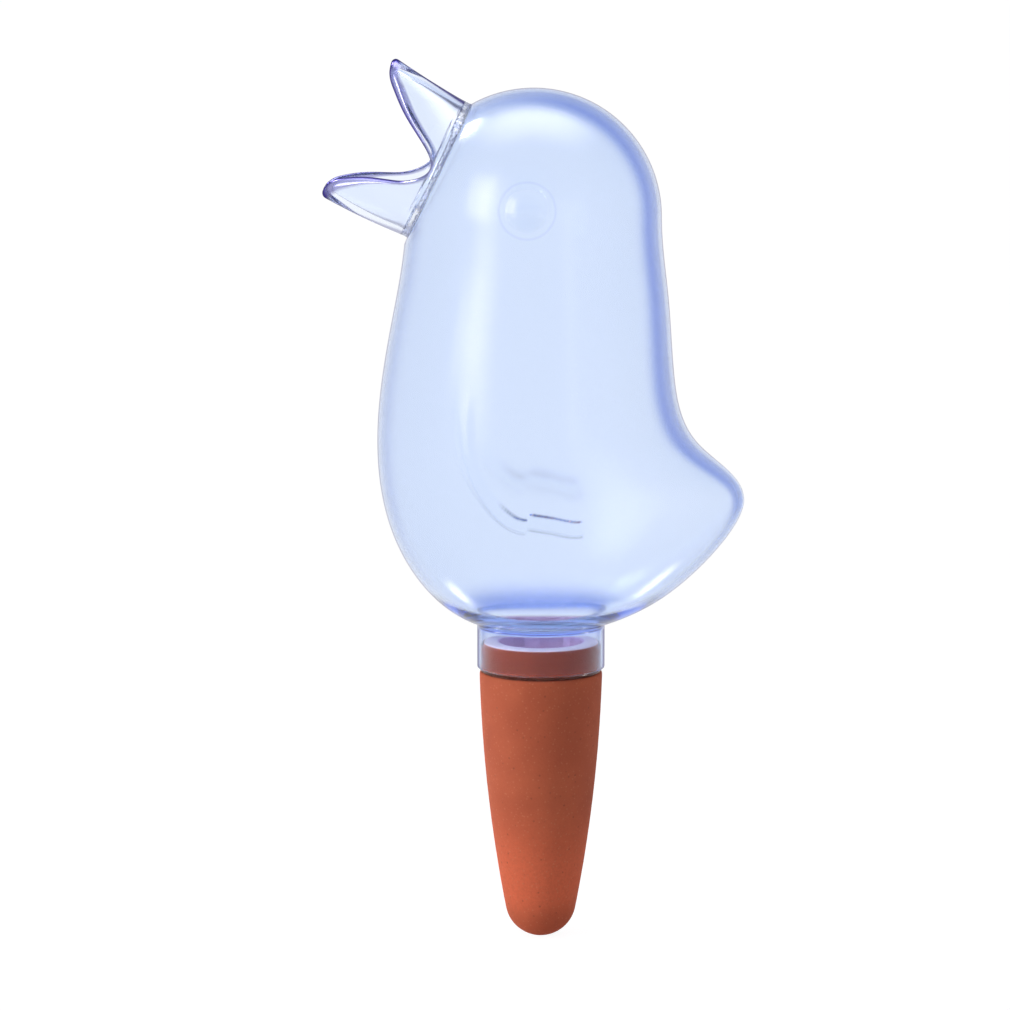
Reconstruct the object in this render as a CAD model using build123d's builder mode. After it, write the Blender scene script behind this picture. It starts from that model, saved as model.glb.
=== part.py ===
from build123d import *
import os
from math import cos, radians, sin, sqrt

# A watering globe in the shape of a singing bird. The thin, see-through bird holds the water and is
# filled through its open beak. Its neck plugs onto a hollow clay spike that seeps into the soil.
# Millimetres. +Z is up the spike's axis, -X is the way the beak points, +X is the tail.
# The origin is on the spike's axis, on the clay shoulder, which is the soil line in use.

# Clay spike
spike_length = 68.1
shoulder_radius = 15.4
shoulder_round = 0.9
nose_radius = 8.9
nose_lean = 11.0
plug_radius = 14.4
plug_height = 7.5
plug_chamfer = 0.5
clay_wall = 4.0
clay_floor = 6.0

# Silicone seal round the plug, with a flange under the neck sleeve's rim
seal_wall = 0.67
seal_flange_width = 1.0
seal_flange_height = 0.8
turning_gap = 0.05
sliding_gap = 0.08

# Neck sleeve of the bird
sleeve_wall = 0.8
sleeve_height = 11.4
rim_round = 0.5

# Bird body, as distances from the spike's axis and heights above the shoulder
shell_wall = 1.3
head_radius = 31.7
head_height = 114.1
head_forward = 1.9
neck_slope = 0.30
belly_reach = 33.8
belly_half_width = 30.0
belly_height = 27.9
breast_reach = 40.8
breast_half_width = 35.2
breast_height = 57.0
throat_reach = 37.0
throat_half_width = 33.1
throat_drop = 25.4
rump_reach = 35.8
rump_height = 22.8
tail_reach = 50.8
tail_height = 43.0
tail_bluntness = 0.6
saddle_reach = 39.0
saddle_rise = 14.4
waist_reach = 33.0
back_reach = 31.6
back_drop = 20.4
tail_fullness = 0.42
round_fullness = sqrt(0.5)
station_count = 24
station_bias = 1.3

# Eyes and wings, moulded on both sides
eye_radius = 6.9
eye_rise = 0.9
eye_forward = 1.8
eye_up = 4.4
wing_relief = 0.5
wing_band = 3.8
wing_top_forward = 19.5
wing_top_height = 75.0
wing_front_drop = 11.8
wing_elbow_forward = 13.2
wing_elbow_height = 47.6
first_feather_forward = 3.6
first_feather_height = 41.2
feather_step = 2.0
second_feather_reach = 9.0
second_feather_drop = 2.1

# Beak, set square to a flat cut across the head
beak_tilt = 25.7
seat_distance = 25.9
seat_land = 2.0
bond_thickness = 0.2
flange_height = 1.6
spigot_depth = 1.0
spigot_gap = 0.15
fill_radius = 11.0
jaw_wall = 1.6
jaw_length = 24.4
jaw_flare = 0.6
jaw_lift = 2.1
jaw_half_width = 8.0
jaw_middle_length = 9.0
jaw_middle_lift = 0.6
jaw_middle_half_width = 13.0
gape_floor = 0.6
gape_rise = 0.9
upper_root_side = 5.5
upper_root_length = 6.5
upper_middle_side = 11.0
upper_middle_length = 15.4
upper_lip_side = 15.6
upper_lip_length = 20.6
upper_tip_length = 22.1
lower_root_side = 4.5
lower_root_length = 4.6
lower_middle_side = 7.8
lower_middle_length = 12.4
lower_lip_side = 12.4
lower_lip_length = 21.2
lower_tip_length = 23.9

# Sizes that follow from those above
seal_bore = plug_radius + turning_gap
seal_radius = seal_bore + seal_wall
sleeve_bore = seal_radius + sliding_gap
neck_radius = sleeve_bore + sleeve_wall
neck_height = seal_flange_height + sleeve_height
nose_centre = nose_radius - spike_length
throat_height = head_height - throat_drop
saddle_height = tail_height + saddle_rise
back_height = head_height - back_drop
waist_height = (saddle_height + back_height) / 2
flange_radius = sqrt(head_radius**2 - seat_distance**2)
flange_top = bond_thickness + flange_height
opening_radius = flange_radius - seat_land
spigot_radius = opening_radius - spigot_gap
jaw_radius = flange_radius + jaw_flare

head_centre = Vector(-head_forward, 0, head_height)
beak_axis = Vector(-cos(radians(beak_tilt)), 0, sin(radians(beak_tilt)))
beak_up = Vector(sin(radians(beak_tilt)), 0, cos(radians(beak_tilt)))
seat_plane = Plane(head_centre + beak_axis * seat_distance, x_dir=beak_up, z_dir=beak_axis)
gape_plane = Plane(seat_plane.origin, x_dir=beak_up, z_dir=(0, -1, 0))

# Side lines of the body, drawn as distance from the axis against height, from neck to head
with BuildLine(Plane.XZ) as breast_line:
    Spline(
        (neck_radius, neck_height),
        (belly_reach, belly_height),
        (breast_reach, breast_height),
        (throat_reach, throat_height),
        (head_radius + head_forward, head_height),
        tangents=((1, neck_slope), (0, 1)),
        tangent_scalars=(1, 1),
    )

with BuildLine(Plane.XZ) as flank_line:
    Spline(
        (neck_radius, neck_height),
        (belly_half_width, belly_height),
        (breast_half_width, breast_height),
        (throat_half_width, throat_height),
        (head_radius, head_height),
        tangents=((1, neck_slope), (0, 1)),
        tangent_scalars=(1, 1),
    )

with BuildLine(Plane.XZ) as back_line:
    Spline(
        (neck_radius, neck_height),
        (rump_reach, rump_height),
        (tail_reach, tail_height),
        tangents=((1, neck_slope), (0, 1)),
        tangent_scalars=(1, tail_bluntness),
    )
    Spline(
        (tail_reach, tail_height),
        (saddle_reach, saddle_height),
        (waist_reach, waist_height),
        (back_reach, back_height),
        (head_radius - head_forward, head_height),
        tangents=((0, 1), (0, 1)),
        tangent_scalars=(1, 1),
    )


def inset_line(line, depth):
    """A side line moved in from the skin by a depth, or out by a negative one."""
    with BuildLine(Plane.XZ) as inset:
        for edge in line.edges().sort_by(Axis.Z):
            shares = [i / station_count for i in range(station_count + 1)]
            spots = [(edge @ share, edge % share) for share in shares]
            Spline(*[(spot.X - along.Z * depth, spot.Z + along.X * depth) for spot, along in spots])
    return inset


def reach_at(line, height):
    """Distance from the axis at which a side line passes a height."""
    edges = line.edges().sort_by(Axis.Z)
    edge = next((e for e in edges if (e @ 1).Z > height), edges[-1])
    low = 0.0
    high = 1.0
    while high - low > 1e-9:
        middle = (low + high) / 2
        if (edge @ middle).Z < height:
            low = middle
        else:
            high = middle
    return (edge @ low).X


def body_form(depth):
    """The whole bird without its sleeve and beak, a depth inside its skin."""
    breast = inset_line(breast_line, depth)
    flank = inset_line(flank_line, depth)
    back = inset_line(back_line, depth)
    lowest = breast.edges()[0] @ 0
    with BuildPart() as form:
        for i in range(station_count + 1):
            share = (i / station_count) ** station_bias
            height = lowest.Z + (head_height - lowest.Z) * share
            front = -reach_at(breast, height)
            rear = reach_at(back, height)
            side = reach_at(flank, height)
            middle = -head_forward * share
            tail_share = min(max((rear - back_reach) / (tail_reach - back_reach), 0), 1)
            fullness = round_fullness + (tail_fullness - round_fullness) * tail_share
            with BuildSketch(Plane.XY.offset(height)):
                with BuildLine():
                    Bezier((middle, side), (front, side), (front, 0), weights=[1, round_fullness, 1])
                    Bezier((front, 0), (front, -side), (middle, -side), weights=[1, round_fullness, 1])
                    Bezier((middle, -side), (rear, -side), (rear, 0), weights=[1, fullness, 1])
                    Bezier((rear, 0), (rear, side), (middle, side), weights=[1, fullness, 1])
                make_face()
        loft()
        with Locations(head_centre):
            dome_align = (Align.CENTER, Align.CENTER, Align.MIN)
            Sphere(head_radius - depth, arc_size1=0, align=dome_align)
    return form.part


body_skin = body_form(0)
body_cavity = body_form(shell_wall)
wing_skin = body_form(-wing_relief)
cavity_floor = body_cavity.bounding_box().min.Z

# Wings: a raised band that runs down the front of each wing and out along two feather tips
wing_top = (-wing_top_forward, wing_top_height)
wing_front = (-wing_top_forward, wing_top_height - wing_front_drop)
wing_elbow = (-wing_elbow_forward, wing_elbow_height)
first_feather = (-first_feather_forward, first_feather_height)
second_root = (-first_feather_forward, first_feather_height + feather_step)
second_feather = (second_feather_reach, first_feather_height + feather_step - second_feather_drop)
with BuildPart() as wings:
    with BuildSketch(Plane.XZ):
        with BuildLine():
            Spline(wing_top, wing_front, wing_elbow, first_feather, tangents=((0, -1), (1, 0)))
        trace(line_width=wing_band)
    extrude(amount=2 * breast_half_width, both=True)
    with BuildSketch(Plane.XZ):
        with BuildLine():
            Spline(second_root, second_feather, tangents=((1, -0.1), (1, 0)))
        trace(line_width=wing_band)
    extrude(amount=2 * breast_half_width, both=True)
    add(wing_skin, mode=Mode.INTERSECT)

# Eye domes, each a cap of a ball that meets the head in a circle of the eye's radius
eye_cap = head_radius + eye_rise - sqrt(head_radius**2 - eye_radius**2)
eye_ball = (eye_radius**2 + eye_cap**2) / (2 * eye_cap)
eye_side = sqrt(head_radius**2 - eye_forward**2 - eye_up**2)
eye_directions = [Vector(-eye_forward, side * eye_side, eye_up).normalized() for side in (1, -1)]
eye_centres = [head_centre + way * (head_radius + eye_rise - eye_ball) for way in eye_directions]

# Bird shell: body, wings, eyes and neck sleeve, hollowed and cut open for the beak
with BuildPart() as bird_shell:
    add(body_skin)
    add(wings.part)
    with Locations(*eye_centres):
        Sphere(eye_ball)
    with BuildSketch(Plane.XY.offset(seal_flange_height)):
        Circle(neck_radius)
    extrude(amount=cavity_floor - seal_flange_height)
    fillet(bird_shell.edges().group_by(Axis.Z)[0], rim_round)
    add(body_cavity, mode=Mode.SUBTRACT)
    with BuildSketch(Plane.XY.offset(seal_flange_height)):
        Circle(sleeve_bore)
    extrude(amount=cavity_floor + shell_wall - seal_flange_height, mode=Mode.SUBTRACT)
    split(bisect_by=seat_plane, keep=Keep.BOTTOM)
    with BuildSketch(seat_plane):
        Circle(opening_radius)
    extrude(amount=-(shell_wall + spigot_depth), mode=Mode.SUBTRACT)

# Bead of clear adhesive between the cut in the head and the beak's flange
with BuildPart() as beak_bond:
    with BuildSketch(seat_plane):
        Circle(flange_radius)
        Circle(opening_radius, mode=Mode.SUBTRACT)
    extrude(amount=bond_thickness)

# Open beak: a base ring with a short spigot and a round throat, and a tube whose gape leaves two jaws
with BuildPart() as beak_funnel:
    with BuildSketch(seat_plane.offset(-spigot_depth)):
        Circle(spigot_radius)
    extrude(amount=spigot_depth + bond_thickness)
    with BuildSketch(seat_plane.offset(bond_thickness)):
        Circle(flange_radius)
    extrude(amount=flange_height)
    with BuildSketch(seat_plane.offset(-spigot_depth)):
        Circle(fill_radius)
    extrude(amount=spigot_depth + flange_top, mode=Mode.SUBTRACT)
    for thinning, blend in ((0, Mode.ADD), (jaw_wall, Mode.SUBTRACT)):
        with BuildSketch(seat_plane.offset(flange_top)):
            Circle(flange_radius - thinning)
        with BuildSketch(seat_plane.offset(jaw_middle_length)):
            with Locations((jaw_middle_lift, 0)):
                Ellipse(flange_radius - thinning, jaw_middle_half_width - thinning)
        with BuildSketch(seat_plane.offset(jaw_length)):
            with Locations((jaw_lift, 0)):
                Ellipse(jaw_radius - thinning, jaw_half_width - thinning)
        loft(mode=blend)
    with BuildSketch(gape_plane):
        with BuildLine():
            corner = flange_top + gape_floor
            upper_root = (upper_root_side, upper_root_length)
            upper_middle = (upper_middle_side, upper_middle_length)
            upper_lip = (upper_lip_side, upper_lip_length)
            upper_tip = (jaw_lift + jaw_radius, upper_tip_length)
            lower_root = (-lower_root_side, lower_root_length)
            lower_middle = (-lower_middle_side, lower_middle_length)
            lower_lip = (-lower_lip_side, lower_lip_length)
            lower_tip = (jaw_lift - jaw_radius, lower_tip_length)
            outside = 2 * jaw_length
            Spline(
                lower_tip,
                lower_lip,
                lower_middle,
                lower_root,
                (gape_rise, corner),
                upper_root,
                upper_middle,
                upper_lip,
                upper_tip,
            )
            Polyline(upper_tip, (upper_tip[0], outside), (lower_tip[0], outside), lower_tip)
        make_face()
    extrude(amount=2 * jaw_radius, both=True, mode=Mode.SUBTRACT)

# Clay spike: a bowed cone with a round nose, a plug for the neck and a well down its middle
with BuildPart() as clay_spike:
    with BuildSketch(Plane.XZ):
        with BuildLine():
            lean = (sin(radians(nose_lean)), cos(radians(nose_lean)))
            nose_edge = (nose_radius * lean[1], nose_centre - nose_radius * lean[0])
            well_floor = clay_floor - spike_length
            nose_mid = (nose_radius * sqrt(0.5), nose_centre - nose_radius * sqrt(0.5))
            ThreePointArc((0, -spike_length), nose_mid, nose_edge)
            TangentArc(nose_edge, (shoulder_radius, 0), tangent=lean)
            Polyline(
                (shoulder_radius, 0),
                (plug_radius, 0),
                (plug_radius, plug_height),
                (plug_radius - clay_wall, plug_height),
                (nose_edge[0] - clay_wall, well_floor),
                (0, well_floor),
                (0, -spike_length),
            )
        make_face()
    revolve(axis=Axis.Z)
    fillet(clay_spike.edges().filter_by(Plane.XY).sort_by(SortBy.RADIUS)[-1], shoulder_round)
    chamfer(clay_spike.edges().group_by(Axis.Z)[-1].sort_by(SortBy.RADIUS)[-1], plug_chamfer)

# Silicone seal: a thin bush on the plug with a flange that the neck sleeve lands on
with BuildPart() as spike_seal:
    with BuildSketch():
        Circle(seal_radius)
    extrude(amount=plug_height - plug_chamfer)
    with BuildSketch():
        Circle(seal_bore + seal_flange_width)
    extrude(amount=seal_flange_height)
    with BuildSketch():
        Circle(seal_bore)
    extrude(amount=plug_height, mode=Mode.SUBTRACT)

pieces = {
    "bird_shell": bird_shell,
    "beak_bond": beak_bond,
    "beak_funnel": beak_funnel,
    "clay_spike": clay_spike,
    "spike_seal": spike_seal,
}
os.makedirs("parts", exist_ok=True)
for name, piece in pieces.items():
    piece.part.label = name
    export_step(piece.part, f"parts/{name}.step")
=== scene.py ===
import math
import bmesh
import bpy
import numpy as np
from mathutils import Matrix, Vector


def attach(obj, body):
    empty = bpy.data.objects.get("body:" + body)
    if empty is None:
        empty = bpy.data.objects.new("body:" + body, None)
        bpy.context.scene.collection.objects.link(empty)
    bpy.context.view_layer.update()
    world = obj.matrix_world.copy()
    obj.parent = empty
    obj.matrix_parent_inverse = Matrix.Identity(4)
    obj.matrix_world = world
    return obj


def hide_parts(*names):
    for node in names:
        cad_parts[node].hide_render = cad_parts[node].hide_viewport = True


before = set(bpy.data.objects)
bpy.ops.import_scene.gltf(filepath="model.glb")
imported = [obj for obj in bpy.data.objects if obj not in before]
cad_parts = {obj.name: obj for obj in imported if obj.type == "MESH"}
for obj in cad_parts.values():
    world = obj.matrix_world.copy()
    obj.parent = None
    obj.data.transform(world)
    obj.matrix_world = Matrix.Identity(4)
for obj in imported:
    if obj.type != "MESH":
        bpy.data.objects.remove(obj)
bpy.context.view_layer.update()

# A see-through bird that waters a pot plant: filled at its open beak, standing on a clay spike.
# Shapes are worked out in millimetres, in the CAD frame, and go into the meshes in metres.
mm = 0.001
sharpAngle = 40.0
scene = bpy.context.scene
scene.view_settings.view_transform = "Standard"
# Clear walls pass light many times before it leaves them
scene.cycles.max_bounces = 48
scene.cycles.glossy_bounces = 32
scene.cycles.transmission_bounces = 40

photoView = {
    "target": (-9.0, 0.0, 41.8),
    "distance": 1250.0,
    "elevation": 9.0,
    "across": 252.0,
}


def placeCamera(view):
    lens = bpy.data.cameras.new("photoCamera")
    lens.sensor_width = 36.0
    lens.lens = lens.sensor_width * view["distance"] / view["across"]
    lens.clip_end = 30.0
    camera = bpy.data.objects.new("photoCamera", lens)
    scene.collection.objects.link(camera)
    tilt = math.radians(view["elevation"])
    away = Vector((0.0, -math.cos(tilt), math.sin(tilt)))
    camera.location = (Vector(view["target"]) + away * view["distance"]) * mm
    camera.rotation_euler = (math.pi / 2 - tilt, 0.0, 0.0)
    scene.camera = camera


placeCamera(photoView)
print("camera placed")


# One socket of a node tree. Arithmetic on it adds Math nodes, and node() adds any other node.
class Wire:
    def __init__(self, tree, socket=None):
        self.tree = tree
        self.socket = socket

    def node(self, kind, settings=None, links=None, out=0):
        made = self.tree.nodes.new(kind)
        for name, value in (settings or {}).items():
            setattr(made, name, value)
        for name, value in (links or {}).items():
            if isinstance(value, Wire):
                self.tree.links.new(value.socket, made.inputs[name])
            else:
                made.inputs[name].default_value = value
        return Wire(self.tree, made.outputs[out] if len(made.outputs) else None)

    def other(self, name):
        return Wire(self.tree, self.socket.node.outputs[name])

    def math(self, operation, first, second=0.0):
        return self.node("ShaderNodeMath", {"operation": operation}, {0: first, 1: second})

    def __add__(self, other):
        return self.math("ADD", self, other)

    def __sub__(self, other):
        return self.math("SUBTRACT", self, other)

    def __rsub__(self, other):
        return self.math("SUBTRACT", other, self)

    def __mul__(self, other):
        return self.math("MULTIPLY", self, other)

    def __truediv__(self, other):
        return self.math("DIVIDE", self, other)

    __radd__ = __add__
    __rmul__ = __mul__

    # 0 below low, 1 above high, smooth between
    def rise(self, low, high):
        return self.node("ShaderNodeMapRange", {"interpolation_type": "SMOOTHSTEP"},
                         {0: self, 1: low, 2: high, 3: 0.0, 4: 1.0})

    def blend(self, first, second):
        return self.node("ShaderNodeMix", {"data_type": "RGBA"}, {0: self, 6: first, 7: second}, out=2)

    def noise(self, place, scale, detail):
        return self.node("ShaderNodeTexNoise", None, {"Vector": place, "Scale": scale, "Detail": detail})

    def bump(self, strength, depth, height):
        return self.node("ShaderNodeBump", None, {"Strength": strength, "Distance": depth, "Height": height})

    def attribute(self, name):
        return self.node("ShaderNodeAttribute", {"attribute_name": name}, out=2)

    def absorption(self, finish):
        return self.node("ShaderNodeVolumeAbsorption", None,
                         {"Color": finish["absorbColour"], "Density": finish["absorbDensity"]})


def rgb(red, green, blue):
    def linear(value):
        share = value / 255
        return share / 12.92 if share <= 0.04045 else ((share + 0.055) / 1.055) ** 2.4
    return (linear(red), linear(green), linear(blue), 1.0)


def startMaterial(name):
    material = bpy.data.materials.new(name)
    material.use_nodes = True
    tree = material.node_tree
    tree.nodes.clear()
    return material, Wire(tree)


def finishMaterial(wire, shader, volume=None):
    links = {"Surface": shader}
    if volume is not None:
        links["Volume"] = volume
    wire.node("ShaderNodeOutputMaterial", None, links)


def clearShader(wire, finish, colour, roughness, normal, metal=0.0):
    return wire.node("ShaderNodeBsdfPrincipled", None, {
        "Base Color": colour, "Roughness": roughness, "Metallic": metal, "IOR": finish["bending"],
        "Specular Tint": finish["shine"], "Transmission Weight": 1.0, "Normal": normal})


# Blown blue plastic: clear, deeper where the wall is seen edge-on or is thick, faintly wavy
# Painted shade darkens the outline, the neck's fillet, the eye rims and the wing steps; painted light weakens
# the edge tint on the lit side
shellFinish = {
    "faceTint": (0.858, 0.906, 0.995, 1.0),
    "rimTint": (0.28, 0.37, 0.76, 1.0),
    "outlineTint": (0.34, 0.35, 0.58, 1.0),
    "neckTint": (0.26, 0.35, 0.74, 1.0),
    "stepShadeColour": (0.06, 0.08, 0.17, 1.0),
    "band": (0.43, 0.57),
    "litSideShift": (0.17, 0.10),
    "wallEdge": (0.71, 0.78),
    "wallEdgeFade": 0.8,
    "outline": (0.84, 0.93),
    "outlineDepth": 0.9,
    "outlineMetal": 0.75,
    "sleeveWidening": 0.15,
    "eyeRim": 6.9,
    "eyeRimWidth": (0.1, 0.45),
    "eyeRimDepth": 0.16,
    "eyeGloss": 0.85,
    "eyeGlossEdge": (6.2, 7.0),
    "edgeGloss": 0.7,
    "edgeGlossRange": (0.3, 0.7),
    "roughness": 0.14,
    "cloudScale": 160.0,
    "cloudRoughness": 0.03,
    "waveScale": 45.0,
    "waveDepth": 0.00006,
    "waveStrength": 0.6,
    "shine": (0.30, 0.28, 0.38, 1.0),
    "bending": 1.48,
    "absorbColour": (0.06, 0.43, 0.97, 1.0),
    "absorbDensity": 45.0,
}


def makeShellPlastic(finish):
    material, wire = startMaterial("shellPlastic")
    place = wire.node("ShaderNodeTexCoord", out=3)
    facing = wire.node("ShaderNodeLayerWeight", None, {"Blend": 0.5}, out=1)
    waves = wire.noise(place, finish["waveScale"], 2.0)
    cloud = wire.noise(place, finish["cloudScale"], 3.0)
    share, drawn, neck, step, rough, eyeOut = (wire.attribute(name) for name in (
        "rimShare", "lineShare", "neckShade", "featherStep", "roughShare", "eyeOut"))

    # Tint: a band inside the rim, weaker on the lit side (painted light), a thin dark line at the very edge and
    # dark rings round the eyes (painted shade), and deeper blue round the neck, painted shade at the fillet
    litSide = 1.0 - share
    low, high = (edge + shift * litSide for edge, shift in zip(finish["band"], finish["litSideShift"]))
    band = facing.rise(low, high) * share * (1.0 - finish["wallEdgeFade"] * facing.rise(*finish["wallEdge"]))
    edgeOn = facing + finish["sleeveWidening"] * drawn.rise(1.0, 2.0)
    outline = edgeOn.rise(*finish["outline"]) * wire.math("MINIMUM", drawn, 1.0)
    eyeLine = 1.0 - wire.math("ABSOLUTE", eyeOut - finish["eyeRim"]).rise(*finish["eyeRimWidth"])
    tint = band.blend(finish["faceTint"], finish["rimTint"])
    tint = (finish["outlineDepth"] * outline).blend(tint, finish["outlineTint"])
    tint = neck.blend(tint, finish["neckTint"])
    tint = (finish["eyeRimDepth"] * eyeLine).blend(tint, finish["rimTint"])

    # Glossier where the wall is seen edge-on, and on the eyes
    edgeDull = 1.0 - finish["edgeGloss"] * facing.rise(*finish["edgeGlossRange"])
    eyeDull = 1.0 - finish["eyeGloss"] * (1.0 - eyeOut.rise(*finish["eyeGlossEdge"]))
    dulled = (finish["roughness"] + finish["cloudRoughness"] * cloud) * edgeDull * rough * eyeDull
    bump = wire.bump(finish["waveStrength"], finish["waveDepth"], waves)
    # Painted shade: near-black lines where the wing bands step down
    shader = clearShader(wire, finish, step.blend(tint, finish["stepShadeColour"]), dulled, bump,
                         finish["outlineMetal"] * outline)
    finishMaterial(wire, shader, wire.absorption(finish))
    return material


# Clear moulded plastic of the beak, with indigo painted shade along the jaws' rounded edges, grainy round its
# base ring
beakFinish = {
    "faceTint": (0.875, 0.920, 0.997, 1.0),
    "rimTint": (0.46, 0.48, 0.76, 1.0),
    "ringTint": (0.94, 0.97, 1.0, 1.0),
    "edgeTint": (0.28, 0.26, 0.56, 1.0),
    "lineTint": (0.07, 0.05, 0.30, 1.0),
    "rim": (0.5, 0.92),
    "edgeDepth": 0.8,
    "edgeLine": (0.22, 0.58),
    "edgeLeast": 0.4,
    "wallLine": (0.60, 0.74),
    "wallLineEnd": (0.86, 0.94),
    "lineMetal": 0.8,
    "ringFade": 0.6,
    "dashDepth": 0.6,
    "dashes": (0.54, 0.62),
    "dashPatches": (0.45, 0.6),
    "dashLeast": 0.3,
    "grainScale": 1300.0,
    "grainHeight": 2.5,
    "flowScale": 120.0,
    "bumpDepth": 0.00005,
    "bumpStrength": 0.5,
    "roughness": 0.03,
    "flowRoughness": 0.02,
    "ringRoughness": 0.08,
    "shine": (0.3, 0.3, 0.33, 1.0),
    "bending": 1.5,
    "absorbColour": (0.30, 0.50, 0.95, 1.0),
    "absorbDensity": 5.0,
}


def makeBeakPlastic(finish):
    material, wire = startMaterial("beakPlastic")
    place = wire.node("ShaderNodeTexCoord", out=3)
    facing = wire.node("ShaderNodeLayerWeight", None, {"Blend": 0.5}, out=1)
    edge, base, bold = (wire.attribute(name) for name in ("jawEdge", "baseRing", "boldLine"))
    flow = wire.noise(place, finish["flowScale"], 2.0)
    grain = wire.noise(place, finish["grainScale"], 2.0)

    # Dark lines: painted shade on the jaws' edges and inside the outlines of the walls, and grain as dashes on
    # the base ring
    wallLine = facing.rise(*finish["wallLine"]) * (1.0 - facing.rise(*finish["wallLineEnd"]))
    least = finish["edgeLeast"]
    line = edge * (least + (1.0 - least) * facing.rise(*finish["edgeLine"])) + bold * wallLine
    least = finish["dashLeast"]
    patches = least + (1.0 - least) * flow.rise(*finish["dashPatches"])
    dashes = finish["dashDepth"] * base * grain.rise(*finish["dashes"]) * patches
    line = wire.math("MINIMUM", line * (1.0 - finish["ringFade"] * base) + dashes, 1.0)

    # Deeper where seen edge-on, pale on the base ring, and indigo painted shade on the jaws' edges
    tint = facing.rise(*finish["rim"]).blend(finish["faceTint"], finish["rimTint"])
    tint = base.blend(tint, finish["ringTint"])
    tint = (finish["edgeDepth"] * edge).blend(tint, finish["edgeTint"])
    dulled = finish["roughness"] + finish["flowRoughness"] * flow + finish["ringRoughness"] * base
    bump = wire.bump(finish["bumpStrength"], finish["bumpDepth"], flow + finish["grainHeight"] * grain * base)
    shader = clearShader(wire, finish, line.blend(tint, finish["lineTint"]), dulled, bump,
                         finish["lineMetal"] * line)
    finishMaterial(wire, shader, wire.absorption(finish))
    return material


# Cured clear adhesive, full of fine grain
bondFinish = {
    "clear": (0.93, 0.96, 1.0, 1.0),
    "tint": (0.78, 0.84, 0.95, 1.0),
    "grain": (0.1, 0.7),
    "grainScale": 2600.0,
    "grainDepth": 0.00012,
    "grainStrength": 0.9,
    "roughness": 0.12,
    "grainRoughness": 0.25,
    "shine": (1.0, 1.0, 1.0, 1.0),
    "bending": 1.48,
}


def makeClearAdhesive(finish):
    material, wire = startMaterial("clearAdhesive")
    place = wire.node("ShaderNodeTexCoord", out=3)
    grain = wire.node("ShaderNodeTexVoronoi", None, {"Vector": place, "Scale": finish["grainScale"]})
    colour = grain.rise(*finish["grain"]).blend(finish["clear"], finish["tint"])
    dulled = finish["roughness"] + finish["grainRoughness"] * grain
    bump = wire.bump(finish["grainStrength"], finish["grainDepth"], grain)
    finishMaterial(wire, clearShader(wire, finish, colour, dulled, bump))
    return material


# Unglazed terracotta: matt, speckled, wet on the plug, with painted bluish light on its top and in the well and
# a painted shadow in the joint
# Heights and radii, where one finish gives way to the next, are in metres
clayFinish = {
    "fired": rgb(202, 100, 66),
    "deep": rgb(186, 88, 57),
    "pale": rgb(222, 140, 104),
    "lowTone": rgb(226, 108, 72),
    "dark": rgb(120, 56, 38),
    "wet": rgb(197, 80, 28),
    "paintedTopLight": rgb(250, 232, 236),
    "well": rgb(232, 196, 226),
    "soil": rgb(58, 34, 28),
    "wetFrom": (0.0002, 0.0012),
    "soilFrom": (-0.0003, 0.0),
    "soilTo": (0.0009, 0.0012),
    "soilDepth": 0.85,
    "paintedTopFrom": (0.0070, 0.0074),
    "wellEdge": (0.0106, 0.0112),
    "lowToneFrom": (-0.064, -0.056),
    "lowToneTo": (-0.052, -0.030),
    "clouds": (0.3, 0.7),
    "cloudScale": 60.0,
    "specks": (0.05, 0.3),
    "speckScale": 900.0,
    "speckDepth": 0.35,
    "pits": (0.03, 0.16),
    "pitScale": 420.0,
    "pitDepth": 0.5,
    "grain": (0.35, 0.7),
    "grainScale": 1500.0,
    "grainDepth": 0.25,
    "pitHollows": (0.02, 0.2),
    "pitHeight": 0.6,
    "bumpDepth": 0.00012,
    "bumpStrength": 0.7,
    "roughness": 0.86,
    "wetGloss": 0.35,
    "gloss": 0.3,
}


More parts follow.
